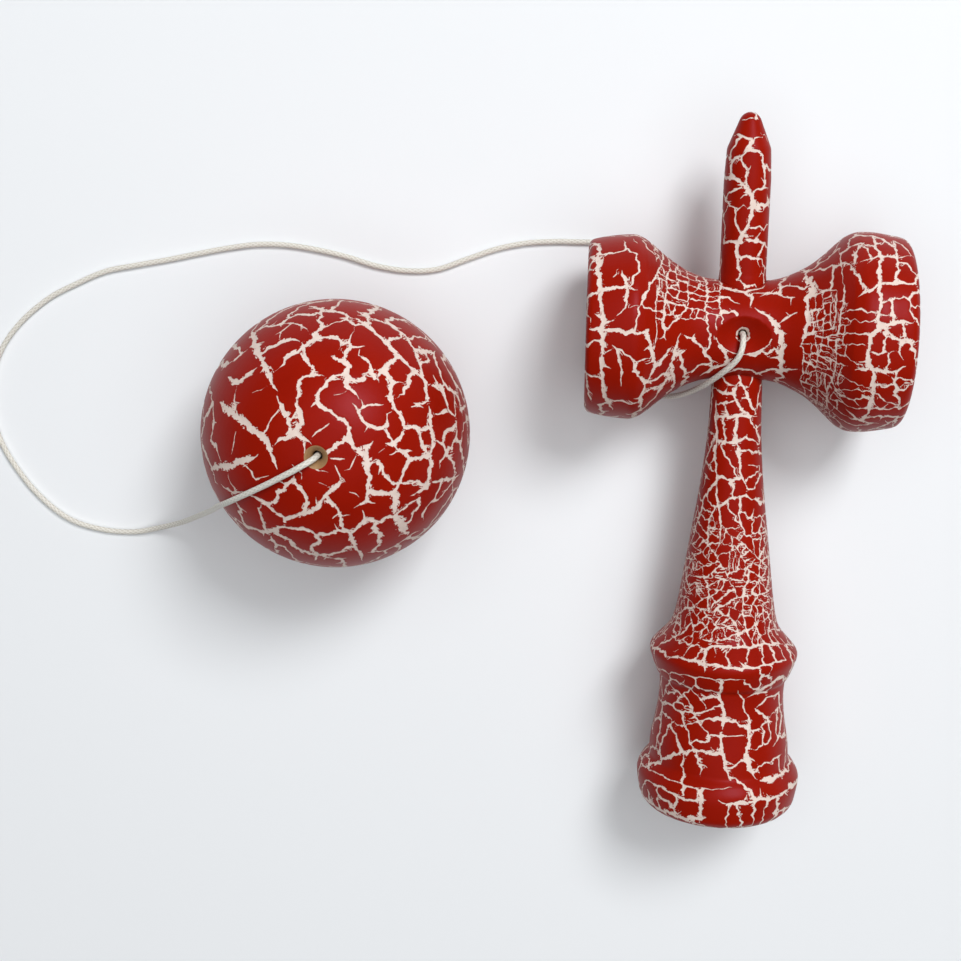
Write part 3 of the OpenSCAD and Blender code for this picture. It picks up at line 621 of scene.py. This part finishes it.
def drilled(bm, cutters):
    """The bmesh with turned hollows cut into it, each by an axis through the hub and an outline along it."""
    blank = placed("drilled", bm)
    drills = []
    for axis, outline in cutters:
        tool = bmesh.new()
        side = axis.orthogonal().normalized()
        corners = [tool.verts.new(HUB + (axis * along + side * radius) * MM) for along, radius in outline]
        for ends in zip(corners, corners[1:]):
            tool.edges.new(ends)
        bmesh.ops.spin(tool, geom=tool.verts[:] + tool.edges[:], cent=HUB, axis=axis, angle=2 * math.pi,
                       steps=DRILL_SIDES, use_merge=True)
        bmesh.ops.remove_doubles(tool, verts=tool.verts, dist=TOUCH)
        bmesh.ops.recalc_face_normals(tool, faces=tool.faces)
        drills.append(placed("drill", tool))
        hollow = blank.modifiers.new("hollow", "BOOLEAN")
        hollow.object = drills[-1]
        hollow.operation = "DIFFERENCE"
        hollow.solver = "EXACT"
    bpy.context.view_layer.update()
    done = blank.evaluated_get(bpy.context.evaluated_depsgraph_get())
    bm = bmesh.new()
    bm.from_mesh(done.to_mesh())
    done.to_mesh_clear()
    for used in [blank, *drills]:
        bpy.data.objects.remove(used)
    return in_order(bm)


class CrackNet:
    """A network of cracks that grows over a surface one crack at a time, as drying paint tears."""

    # Side of the boxes in which points are looked up, and the longest step of a crack.
    BOX = 2.0 * MM
    STEP = 0.4 * MM
    # Where the coat is thin its islands are narrower than this and more even.
    FINE = 3.4 * MM
    # How far a growing crack senses others, in widths of an island.
    SENSE = 0.4
    # An island cracks again while its middle is further than this from any crack, in widths of an island.
    WIDE = 0.46
    # The first cracks are the widest.
    FIRST, FIRST_SHARE = 14, 1.35
    # Spurs leave this share of the points of cracks with at least this half width.
    SPUR_SHARE, SPUR_FROM = 0.06, 0.17 * MM
    # Half width and distance where there is no coat, so that no crack shows.
    BARE_HALF, BARE_DISTANCE = -1.0, 9.0

    def __init__(self, bm, seed, cell_at, grain_at, blocky=False):
        self.surface = BVHTree.FromBMesh(bm)
        self.random = random.Random(seed)
        self.cell_at = cell_at
        self.grain_at = grain_at
        self.blocky = blocky
        self.points = []
        self.halves = []
        self.before = []
        self.grid = {}

    def key(self, co):
        return tuple(math.floor(c / self.BOX) for c in co)

    def add(self, co, half, before):
        """Adds a point of a crack, joined to an earlier one, and returns its number."""
        number = len(self.points)
        self.points.append(co.copy())
        self.halves.append(half)
        self.before.append(before)
        self.grid.setdefault(self.key(co), []).append(number)
        return number

    def nearest(self, co, reach, until):
        """The nearest point of the cracks made before a given number, within reach, and its distance."""
        a, b, c = self.key(co)
        span = math.ceil(reach / self.BOX)
        best, found = reach, None
        for i in range(a - span, a + span + 1):
            for j in range(b - span, b + span + 1):
                for k in range(c - span, c + span + 1):
                    for number in self.grid.get((i, j, k), ()):
                        if number < until:
                            apart = (self.points[number] - co).length
                            if apart < best:
                                best, found = apart, number
        return found, best

    def settle(self, co, heading):
        """A place and heading brought back onto the surface."""
        spot, normal, _, _ = self.surface.find_nearest(co)
        heading = heading - normal * heading.dot(normal)
        return spot, heading.normalized(), normal

    def breathe(self, breath):
        """The next value of a slow random swing, by which a crack's width comes and goes."""
        return 0.8 * breath + self.random.gauss(0, 0.14)

    def arm(self, start, heading, half, until, length):
        """Grows an arm of a crack in straight tears until it meets a crack, ends or leaves the coat."""
        here = self.points[start]
        cell = self.cell_at(here)
        made, travelled, met = [start], 0.0, False
        side, lean, tear_left, breath = self.random.choice((-1, 1)), 0.0, 0.0, 0.0
        # The most that a tear leans from the crack's heading, and how hard the grain pulls at it.
        most_lean, grip = 0.75, 0.06
        if cell < self.FINE:
            most_lean, grip = (0.65, 0.14) if self.blocky else (0.75, 0.0)
        while travelled < length:
            step = min(self.STEP, 0.12 * cell)
            if tear_left <= 0:
                side = -side
                lean = side * self.random.uniform(0.05, most_lean)
                tear_left = cell * self.random.uniform(0.08, 0.32)
            here, heading, normal = self.settle(here, heading)
            heading = Quaternion(normal, self.random.gauss(0, 0.06)) @ heading
            for run in self.grain_at(here):
                pull = heading.dot(run)
                if abs(pull) > 0.75:
                    heading = (heading + run * math.copysign(grip, pull)).normalized()
            sensed, apart = self.nearest(here, self.SENSE * cell, until)
            if sensed is not None:
                if apart < 1.3 * step and travelled > 2 * step:
                    made.append(self.add(self.points[sensed], half, made[-1]))
                    met = True
                    break
                towards = (self.points[sensed] - here).normalized()
                if towards.dot(heading) > 0.1:
                    heading = (heading + 0.15 * towards).normalized()
                elif cell < self.FINE and apart < 0.3 * cell and travelled > 0.5 * cell:
                    # In a thin coat a crack that runs alongside another soon turns into it.
                    heading = (heading + 0.6 * towards).normalized()
            ahead = Quaternion(normal, lean) @ heading
            here, _, _ = self.settle(here + ahead * step, ahead)
            cell = self.cell_at(here)
            if cell <= 0:
                met = True
                break
            breath = self.breathe(breath)
            made.append(self.add(here, half * min(1.6, max(0.55, 1 + breath)), made[-1]))
            travelled += step
            tear_left -= step
        if not met:
            for back, number in enumerate(reversed(made)):
                self.halves[number] *= min(1.0, 0.1 + 0.12 * back)
        return made

    def crack(self, spot, cell, share):
        """Starts a crack in the middle of an island, and grows it both ways towards the island's edges."""
        until = len(self.points)
        spot, heading, normal = self.settle(spot, Vector((self.random.gauss(0, 1) for _ in range(3))))
        sensed, _ = self.nearest(spot, 1.2 * cell, until)
        if sensed is not None:
            _, heading, _ = self.settle(spot, self.points[sensed] - spot)
            blocks = self.blocky and cell < self.FINE
            if blocks:
                heading = max(self.grain_at(spot), key=lambda run: abs(run.dot(heading)))
            heading = Quaternion(normal, self.random.gauss(0, 0.2 if blocks else 0.4)) @ heading
        half = (0.045 * MM + cell * self.random.uniform(0.025, 0.052)) * share
        start = self.add(spot, half, -1)
        for turn in (0, math.pi):
            dead_end = self.random.random() < (0.08 if cell < self.FINE else 0.2)
            length = cell * self.random.uniform(0.4, 1.0) if dead_end else 14 * cell
            self.arm(start, Quaternion(normal, turn) @ heading, half, until, length)

    def spurs(self):
        """Short tapering side tears along the wider cracks."""
        for number in range(len(self.points)):
            half, earlier = self.halves[number], self.before[number]
            if earlier < 0 or half < self.SPUR_FROM or self.random.random() > self.SPUR_SHARE:
                continue
            along = self.points[number] - self.points[earlier]
            if along.length < 0.01 * MM:
                continue
            spot, heading, normal = self.settle(self.points[number], along * self.random.choice((-1, 1)))
            swing = self.random.choice((-1, 1)) * self.random.uniform(0.4, 1.2)
            heading = Quaternion(normal, swing) @ heading
            length = half + self.random.uniform(0.7, 2.2) * MM
            last, steps = number, max(3, round(length / (0.3 * MM)))
            for k in range(1, steps + 1):
                heading = Quaternion(normal, self.random.gauss(0, 0.14)) @ heading
                spot, heading, normal = self.settle(spot + heading * length / steps, heading)
                if self.cell_at(spot) <= 0:
                    break
                last = self.add(spot, min(0.75 * half, 0.3 * MM) * (1 - k / (steps + 1)), last)

    def hairlines(self, bm, count):
        """Thin short tears that lie loose on the islands."""
        bm.faces.ensure_lookup_table()
        for _ in range(count):
            face = bm.faces[self.random.randrange(len(bm.faces))]
            spot, heading, _ = self.settle(face.calc_center_median(),
                                           Vector((self.random.gauss(0, 1) for _ in range(3))))
            cell = self.cell_at(spot)
            if cell > self.FINE and self.nearest(spot, 0.3 * cell, len(self.points))[0] is None:
                start = self.add(spot, 0.04 * MM, -1)
                self.arm(start, heading, self.random.uniform(0.06, 0.14) * MM, start,
                         cell * self.random.uniform(0.2, 0.6))

    def draw(self, width, spots):
        """Draws a main crack through places on the surface, in straight tears. Returns its run of points."""
        first, last, breath = len(self.points), -1, 0.0
        for number, (a, b) in enumerate(zip(spots, spots[1:])):
            tears = max(1, round((b - a).length / (1.2 * MM)))
            corners = [a]
            for k in range(1, tears):
                spot, heading, normal = self.settle(a.lerp(b, k / tears), b - a)
                corners.append(spot + normal.cross(heading) * self.random.gauss(0, 0.22 * MM))
            corners.append(b)
            for k, (c, d) in enumerate(zip(corners, corners[1:])):
                along = (number + k / tears) / (len(spots) - 1)
                steps = max(1, round((d - c).length / self.STEP))
                for i in range(steps):
                    breath = self.breathe(breath)
                    half = width * MM / 2 * (1 - 0.3 * along) * min(1.5, max(0.6, 1 + breath))
                    last = self.add(self.settle(c.lerp(d, i / steps), d - c)[0], half, last)
        return range(first, len(self.points))

    def taper(self, crack):
        """Brings each end of a drawn crack to a point, unless it meets another crack there."""
        for way in (crack, crack[::-1]):
            tip = self.points[way[0]]
            if all((co - tip).length > 0.9 * MM for n, co in enumerate(self.points) if n not in crack):
                for k, number in enumerate(way[:7]):
                    self.halves[number] *= (k + 1) / 8

    def draw_all(self, cracks, stage):
        """Draws the main cracks where the camera sees them."""
        drawn = [self.draw(width, seen_on(self.surface, stage, spots)) for width, spots in cracks]
        for crack in drawn:
            self.taper(crack)

    def fill(self, bm, count):
        """Cracks every island that is still wider than its place allows."""
        chooser = np.random.default_rng(self.random.randrange(10 ** 6))
        centres = [f.calc_center_median() for f in bm.faces]
        cells = np.array([self.cell_at(c) for c in centres])
        areas = np.array([f.calc_area() for f in bm.faces])
        shares = np.where(cells > 0, areas / np.maximum(cells, 0.1 * MM) ** 2, 0.0)
        chosen = chooser.choice(len(shares), size=count, p=shares / shares.sum())
        spots, cells = np.array(centres)[chosen], cells[chosen]
        spread = np.where(cells < self.FINE, 0.15, 0.28)
        goal = cells * (1 + spread * chooser.uniform(-1, 1, count))
        near = np.full(len(spots), 1.0)
        done, made = 0, 0
        while True:
            if len(self.points) > done:
                fresh = np.array(self.points[done:])
                for k in range(0, len(fresh), 200):
                    apart = np.linalg.norm(spots[:, None] - fresh[None, k:k + 200], axis=2).min(1)
                    near = np.minimum(near, apart)
                done = len(self.points)
            open_share = near / goal
            widest = int(open_share.argmax())
            if open_share[widest] < self.WIDE:
                break
            near[widest] = 0.0
            made += 1
            share = self.FIRST_SHARE if made < self.FIRST else self.random.choice((0.7, 0.85, 1.0, 1.0, 1.2))
            self.crack(Vector(spots[widest]), float(cells[widest]), share)

    def mark(self, bm, recess, coated):
        """Writes each vertex's way to its nearest crack and that crack's half width, and sinks the cracks."""
        tree = KDTree(len(self.points))
        for number, co in enumerate(self.points):
            tree.insert(co, number)
        tree.balance()
        ways = bm.verts.layers.float_vector.new("crack_way")
        half_widths = bm.verts.layers.float.new("crack_half")
        distances = bm.verts.layers.float.new("crack_distance")
        verts = bm.verts[:]
        places = np.array([v.co for v in verts])
        # The nearest stretch of a crack is looked for among those that end in the eight nearest points.
        close = np.array([[n for _, n, _ in tree.find_n(v.co, 8)] for v in verts])
        points, halves, before = np.array(self.points), np.array(self.halves), np.array(self.before)
        start = np.where(before < 0, np.arange(len(before)), before)
        a, b = points[start[close]], points[close]
        run = b - a
        length = np.maximum((run ** 2).sum(2), 1e-16)
        share = np.clip(((places[:, None] - a) * run).sum(2) / length, 0, 1)
        way = a + run * share[..., None] - places[:, None]
        apart = np.linalg.norm(way, axis=2)
        half = halves[start[close]] * (1 - share) + halves[close] * share
        pick = (apart - half).argmin(1)[:, None]
        way = np.take_along_axis(way, pick[..., None], 1)[:, 0] / MM
        apart = np.take_along_axis(apart, pick, 1)[:, 0] / MM
        half = np.take_along_axis(half, pick, 1)[:, 0] / MM
        sink = np.clip((half - apart) / 0.2 + 0.5, 0, 1) * recess
        for v, w, d, h, s in zip(verts, way, apart, half, sink):
            on_coat = coated(v.co)
            v[ways] = w
            v[half_widths] = h if on_coat else self.BARE_HALF
            v[distances] = d if on_coat else self.BARE_DISTANCE
            if on_coat:
                v.co -= v.normal * s


def crackled(piece, bm, cracks, cell_at, grain_at, blocky=False):
    """The cracks of a turned piece: the main ones, those that grow between them, spurs and hairlines."""
    seed, places, hairlines = GROWTH[piece]
    net = CrackNet(bm, seed, cell_at, grain_at, blocky)
    net.draw_all(cracks, bpy.context.scene.toy_stage)
    net.fill(bm, places)
    net.spurs()
    net.hairlines(bm, hairlines)
    return net


def painted(piece, bm, net, on_coat):
    """A turned piece finished with its cracks, and with bare wood where there is no coat."""
    net.mark(bm, bpy.context.scene.toy_paint.recess, on_coat)
    for face in bm.faces:
        face.material_index = 0 if on_coat(face.calc_center_median()) else 1
    finished(piece + "_painted", bm, painted_wood(), piece, piece)


def smooth_route(route, step):
    """Places along a smooth curve through the route's points, about a step apart."""
    ends = [2 * route[0] - route[1], *route, 2 * route[-1] - route[-2]]
    places = []
    for a, b, c, d in zip(ends, ends[1:], ends[2:], ends[3:]):
        count = max(1, round((c - b).length / step))
        for k in range(count):
            t = k / count
            places.append(0.5 * (2 * b + (c - a) * t + (2 * a - 5 * b + 4 * c - d) * t ** 2
                                 + (3 * b - a - 3 * c + d) * t ** 3))
    return [*places, route[-1]]


def braided(places, cord):
    """A bmesh tube along the places, rolled up from a grid and raised over each strand of its braid."""
    rows = len(places) - 1
    bm = bmesh.new()
    braid = bm.verts.layers.float.new("braid")
    bmesh.ops.create_grid(bm, x_segments=RING_SIDES, y_segments=rows, size=1.0)
    side = Vector((1, 0, 0)) if abs((places[1] - places[0]).normalized().x) < 0.7 else UP
    rings, along = [], 0.0
    for number, place in enumerate(places):
        ahead = (places[min(number + 1, rows)] - places[max(number - 1, 0)]).normalized()
        side = (side - ahead * side.dot(ahead)).normalized()
        along += (place - places[max(number - 1, 0)]).length
        rings.append((place, side, ahead.cross(side), along))
    for v in bm.verts:
        place, side, across, along = rings[round((v.co.y + 1) / 2 * rows)]
        angle = math.pi * (v.co.x + 1)
        turn = 2 * math.pi * along / cord.lay
        ridge = max(math.cos(cord.plaits * (angle + turn)), math.cos(cord.plaits * (angle - turn)))
        v[braid] = max(0.0, ridge)
        radius = cord.diameter / 2 * (1 - STRAND_RISE + STRAND_RISE * v[braid])
        v.co = place + radius * (math.cos(angle) * side + math.sin(angle) * across)
    bmesh.ops.remove_doubles(bm, verts=bm.verts, dist=TOUCH)
    bmesh.ops.holes_fill(bm, edges=[e for e in bm.edges if e.is_boundary])
    bmesh.ops.recalc_face_normals(bm, faces=bm.faces)
    return bm


def seen_on(surface, stage, spots):
    """Places on a surface that the camera sees at pixels of the square frame."""
    eye, turn = Vector(stage.place), Euler(stage.turn).to_matrix()
    places = []
    for across, down in spots:
        ray = turn @ Vector((across - FRAME_SIDE / 2, FRAME_SIDE / 2 - down,
                             -FRAME_SIDE * stage.lens / SENSOR))
        hit = surface.ray_cast(eye, ray.normalized())[0]
        if hit is None:
            raise ValueError(f"no piece shows at pixel {across}, {down}")
        places.append(hit)
    return places


def to_toy(point):
    """A place in the hub's own frame, in millimetres, carried to the table's frame in metres."""
    return HUB + TOY_TURN @ (Vector(point) * MM)


def from_toy(co):
    """A place in the table's frame, carried to the hub's own frame in millimetres."""
    return TOY_TURN.transposed() @ (co - HUB) / MM


class TOY_OT_stage(bpy.types.Operator):
    """Sets up the camera, the pale floor and the soft light"""
    bl_idname = "toy.stage"
    bl_label = "Stage"

    def execute(self, context):
        stage = context.scene.toy_stage
        lens = bpy.data.cameras.new("camera")
        lens.lens = stage.lens
        lens.sensor_width = SENSOR
        camera = bpy.data.objects.new("camera", lens)
        camera.matrix_world = Matrix.LocRotScale(stage.place, Euler(stage.turn), None)
        context.scene.collection.objects.link(camera)
        context.scene.camera = camera

        bm = bmesh.new()
        bmesh.ops.create_grid(bm, x_segments=1, y_segments=1, size=FLOOR_REACH)
        floor = placed("floor", bm)
        material = new_material("pale_floor")
        shader = add_node(material.node_tree, "ShaderNodeBsdfPrincipled", {
            "Base Color": rgba(stage.floor), "Roughness": 0.9})
        add_node(material.node_tree, "ShaderNodeOutputMaterial", {"Surface": shader.outputs[0]})
        floor.data.materials.append(material)

        # A small soft lamp gives the glow on the paint, and a wide sky above lights the whole floor evenly.
        key = bpy.data.lights.new("key", "AREA")
        key.size = KEY_SIDE
        key.energy = KEY_WATTS
        sky = bpy.data.lights.new("sky", "SUN")
        sky.angle = SKY_SPREAD
        sky.energy = SKY_STRENGTH
        for lamp, place in ((key, KEY_PLACE), (sky, SKY_PLACE)):
            spot = bpy.data.objects.new(lamp.name, lamp)
            spot.matrix_world = Matrix.LocRotScale(place, (-Vector(place)).to_track_quat("-Z", "Y"), None)
            spot.visible_glossy = lamp is key
            spot.visible_camera = False
            context.scene.collection.objects.link(spot)
        # The room is as pale as the floor along the horizon and dims above it.
        world = bpy.data.worlds.new("soft_room")
        world.use_nodes = True
        context.scene.world = world
        tree = world.node_tree
        tree.nodes.clear()
        ray = add_node(tree, "ShaderNodeTexCoord").outputs["Generated"]
        rise = add_node(tree, "ShaderNodeSeparateXYZ", {0: ray}).outputs["Z"]
        glow = add_node(tree, "ShaderNodeMapRange", {
            "Value": rise, "From Min": 0.0, "From Max": 0.16, "To Min": 0.6, "To Max": 0.05},
            interpolation_type="SMOOTHSTEP")
        room = add_node(tree, "ShaderNodeBackground", {"Color": (0.95, 0.97, 1.0, 1.0),
                                                       "Strength": glow.outputs["Result"]})
        add_node(tree, "ShaderNodeOutputWorld", {"Surface": room.outputs[0]})
        context.scene.view_settings.view_transform = "Standard"
        return {"FINISHED"}


class TOY_OT_cord(bpy.types.Operator):
    """Braids the cord along its route, with its knots"""
    bl_idname = "toy.cord"
    bl_label = "Cord"

    def execute(self, context):
        cord = context.scene.toy_cord
        material = braided_cord(cord)
        front = [to_toy(p) for p in OVER_WAIST] + [Vector(p) * MM for p in UNDER_CUP]
        run = ([Vector((x, y, CORD_R)) * MM for x, y in ON_TABLE] + [Vector(p) * MM for p in UP_TO_BALL]
               + [BALL_CENTRE + Vector(p) * MM for p in OVER_BALL])
        meeting = run[0]
        knot_in_handle = to_toy((0, 0, KNOT_END))
        knot_in_ball = Vector((BALL_CENTRE.x, BALL_CENTRE.y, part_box("cord_in_ball")[0].z))
        stretches = {
            "cord_front": front,
            "cord_run": run,
            "cord_in_handle": [knot_in_handle, front[0]],
            "cord_in_ball": [knot_in_ball, run[-1]],
        }
        paths, pieces = {}, {}
        for node, route in stretches.items():
            paths[node] = smooth_route(route, RING)
            bm = braided(paths[node], cord)
            pieces[node] = finished(node + "_braid", bm, [material], None, node)
        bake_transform(pieces["cord_front"])
        # What lies on the table stays there, and what hugs the ball rises with it.
        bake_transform(pieces["cord_run"])
        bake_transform(pieces["cord_in_handle"])
        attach(pieces["cord_in_ball"], "cord_end")
        for node, body in (("handle_knot", "handle"), ("ball_knot", "cord_end")):
            low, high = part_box(node)
            self.knot(node, body, (low + high) / 2, cord, material)
        for node, exit_at in (("cord_front", to_toy((0, 0, CORD_EXIT))), ("cord_run", meeting)):
            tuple(exit_at)
        return {"FINISHED"}

    def knot(self, node, body, centre, cord, material):
        """An overhand knot drawn tight: the braid in a small trefoil."""
        places = []
        for k in range(KNOT_RINGS + 1):
            t = 2 * math.pi * k / KNOT_RINGS
            places.append(centre + Vector(((math.sin(t) + 1.1 * math.sin(2 * t)) * KNOT_WIDE,
                                           (math.cos(t) - 1.1 * math.cos(2 * t)) * KNOT_WIDE,
                                           -math.sin(3 * t) * KNOT_DEEP)) * MM)
        finished(node + "_tied", braided(places, cord), [material], body, node)


class TOY_OT_ball(bpy.types.Operator):
    """Turns the ball with its holes and crackles its paint"""
    bl_idname = "toy.ball"
    bl_label = "Ball"

    def execute(self, context):
        paint = context.scene.toy_paint

        def out_from_axis(co):
            return math.hypot(co.x - BALL_CENTRE.x, co.y - BALL_CENTRE.y) / MM

        def on_coat(co):
            return (co - BALL_CENTRE).length > BALL_COAT_R * MM and out_from_axis(co) > BALL_SINK_R

        def cell_at(co):
            if not on_coat(co):
                return 0.0
            # The islands are wider on the ball's left.
            left = 0.5 - (co.x - BALL_CENTRE.x) / (80 * MM)
            return paint.ball_cell * (0.95 + 0.45 * left)

        def step_at(co):
            return 0.43 * MM if (co - BALL_CENTRE).length > BALL_COAT_R * MM else 1.6 * MM

        bm = turned("ball", BALL_CENTRE, UP, Vector((1, 0, 0)), step_at, 380)
        painted("ball", bm, crackled("ball", bm, BALL_CRACKS, cell_at, lambda co: ()), on_coat)
        return {"FINISHED"}


class TOY_OT_handle(bpy.types.Operator):
    """Turns the handle, drills it for the cord and crackles its paint"""
    bl_idname = "toy.handle"
    bl_label = "Handle"

    def execute(self, context):
        paint = context.scene.toy_paint

        def on_coat(co):
            return not SEAT[0] < from_toy(co).y < SEAT[1]

        def thin_at(co):
            """How thin the coat is, from 0 to 1: low on the grip, and less so down the handle's left."""
            x, y, _ = from_toy(co)
            # Each patch has a greatest thinness and fades out over its sides.
            grip = min(1.0, 0.25 * (y - GRIP_FINE[0]), 0.25 * (GRIP_FINE[1] - y))
            left = min(0.6, 0.3 * (-x - 2), 0.2 * (-14 - y), 0.4 * (y - GRIP_FINE[0]))
            body = min(0.7, 0.2 * (-x - 2), 0.3 * (-79 - y), 0.2 * (y + 93))
            return max(0.0, grip, left, body)

        def cell_at(co):
            if not on_coat(co):
                return 0.0
            y = from_toy(co).y
            share = 1.1 if y > SEAT[1] else 0.8 if y > GRIP_FINE[0] else 1.0
            return paint.grip_cell * share * (1 - 0.54 * thin_at(co))

        def grain_at(co):
            return (HANDLE_AXIS, HANDLE_AXIS.cross(co - HUB).normalized())

        def step_at(co):
            return 1.2 * MM if from_toy(co).y < BASE_RIM else 0.5 * MM

        bm = turned("handle", HUB, HANDLE_AXIS, CROSS_AXIS, step_at, 220)
        net = crackled("handle", bm, HANDLE_CRACKS, cell_at, grain_at)
        bm = drilled(bm, [(-DISH_AXIS, [
            (-PAST_HANDLE, 0), (-PAST_HANDLE, CORD_HOLE_R), (KNOT_FLOOR, CORD_HOLE_R),
            (KNOT_FLOOR, KNOT_POCKET_R), (PAST_HANDLE, KNOT_POCKET_R), (PAST_HANDLE, 0)])])
        painted("handle", bm, net, on_coat)
        return {"FINISHED"}


class TOY_OT_cross_cup(bpy.types.Operator):
    """Turns the cross cup, drills it for the handle and the cord, and crackles its paint"""
    bl_idname = "toy.cross_cup"
    bl_label = "Cross cup"

    def execute(self, context):
        paint = context.scene.toy_paint

        def kind_of(co):
            """Whether a place is on bare wood, in the dish round the cord's hole, or on the coat."""
            x, y, z = from_toy(co)
            out = math.hypot(x, y)
            bore_r = BORE_LOW_R + (BORE_TOP_R - BORE_LOW_R) * (y - BORE_LOW) / (BORE_TOP - BORE_LOW)
            if math.hypot(x, z) < bore_r + 0.02 or (z > 0 and out < EYELET_R and z < EYELET_LOW - 0.02):
                return "wood"
            if z > DISH_APEX + DISH_SLOPE * out - 0.03 and out < DISH_R + 0.02:
                return "dish"
            return "coat"

        def on_coat(co):
            return kind_of(co) != "wood"

        def thin_at(co):
            """How thin the coat is, from 0 to 1: on the big cup's flank and on top of the small one's."""
            x, y, z = from_toy(co)
            # Each patch has a greatest thinness and fades out over its sides.
            big = min(1.0, 0.6 * (x - 12), 0.8 * (BIG_BAND - x), 0.25 * (13 - y))
            small = min(0.9, 0.6 * (x - SMALL_BAND), 0.3 * (-2 - x), 0.35 * (y - 1), 0.5 * (z + 4))
            return max(0.0, big, small)

        def cell_at(co):
            if kind_of(co) != "coat":
                return 0.0
            x = from_toy(co).x
            share = 0.75 if x > BIG_BAND else 1.05 if x < SMALL_BAND else 1 - 0.71 * thin_at(co)
            return paint.cup_cell * share

        def grain_at(co):
            return (CROSS_AXIS, CROSS_AXIS.cross(co - HUB).normalized())

        def step_at(co):
            x, y, z = from_toy(co)
            inside = (x > BIG_BAND or x < SMALL_BAND) and math.hypot(y, z) < CUP_INSIDE_R
            return 0.9 * MM if inside else 0.4 * MM

        bm = turned("cross_cup", HUB, CROSS_AXIS, -DISH_AXIS, step_at, 320)
        net = crackled("cross_cup", bm, CROSS_CUP_CRACKS, cell_at, grain_at, blocky=True)
        dish = [(DISH_APEX + DISH_SLOPE * r, r) for r in (EYELET_R, *DISH_RINGS, DISH_R)]
        bm = drilled(bm, [
            (HANDLE_AXIS, [(BORE_LOW, 0), (BORE_LOW, BORE_LOW_R), (BORE_TOP, BORE_TOP_R), (BORE_TOP, 0)]),
            (DISH_AXIS, [(0, 0), (0, CORD_HOLE_R), (EYELET_LOW, CORD_HOLE_R), *dish, (PAST_CUP, DISH_R),
                         (PAST_CUP, 0)])])
        # Base coat shows on the eyelet's bevel. A thin line of base coat colour along the near rim of the
        # dish is a painted highlight, where the rim's edge catches the light.
        for k in range(40):
            angle = 2 * math.pi * k / 40
            net.add(to_toy((1.3 * math.cos(angle), 1.3 * math.sin(angle), EYELET_LOW + 0.35)), 0.36 * MM, -1)
        # Painted highlight: the base coat colour is drawn as a thin line along the near rim of the dish only.
        for v in bm.verts:
            if from_toy(v.co).y < -0.5:
                kinds = {kind_of(f.calc_center_median()) for f in v.link_faces}
                if kinds == {"dish", "coat"}:
                    net.add(v.co, 0.11 * MM, -1)
        painted("cross_cup", bm, net, on_coat)
        return {"FINISHED"}


class TOY_OT_finishes(bpy.types.Operator):
    """Mixes the paint and the wood, and gives the bead its plastic"""
    bl_idname = "toy.finishes"
    bl_label = "Finishes"

    def execute(self, context):
        crackle_paint(context.scene.toy_paint)
        bare_wood(context.scene.toy_paint)
        bead = frame["nodes"]["bead"]
        bead.data.materials.clear()
        bead.data.materials.append(moulded_bead(context.scene.toy_cord))
        return {"FINISHED"}


class TOY_PT_panel(bpy.types.Panel):
    """Lists the toy's steps and settings"""
    bl_idname = "TOY_PT_panel"
    bl_label = "Cup and ball toy"
    bl_space_type = "VIEW_3D"
    bl_region_type = "UI"
    bl_category = "Toy"

    def draw(self, context):
        for operator in OPERATORS:
            self.layout.operator(operator.bl_idname)
        for group in (context.scene.toy_paint, context.scene.toy_cord, context.scene.toy_stage):
            for key in group.__annotations__:
                self.layout.prop(group, key)


GROUPS = {"toy_paint": ToyPaint, "toy_cord": ToyCord, "toy_stage": ToyStage}
OPERATORS = (TOY_OT_stage, TOY_OT_finishes, TOY_OT_cord, TOY_OT_ball, TOY_OT_handle, TOY_OT_cross_cup)


def register():
    for cls in (*GROUPS.values(), *OPERATORS, TOY_PT_panel):
        bpy.utils.register_class(cls)
    for name, group in GROUPS.items():
        setattr(bpy.types.Scene, name, PointerProperty(type=group))


def unregister():
    for name in GROUPS:
        delattr(bpy.types.Scene, name)
    for cls in reversed((*GROUPS.values(), *OPERATORS, TOY_PT_panel)):
        bpy.utils.unregister_class(cls)


def main():
    register()
    bpy.ops.toy.stage()
    bpy.ops.toy.finishes()
    bpy.ops.toy.cord()
    bpy.ops.toy.ball()
    bpy.ops.toy.handle()
    bpy.ops.toy.cross_cup()


if __name__ == "__main__":
    main()
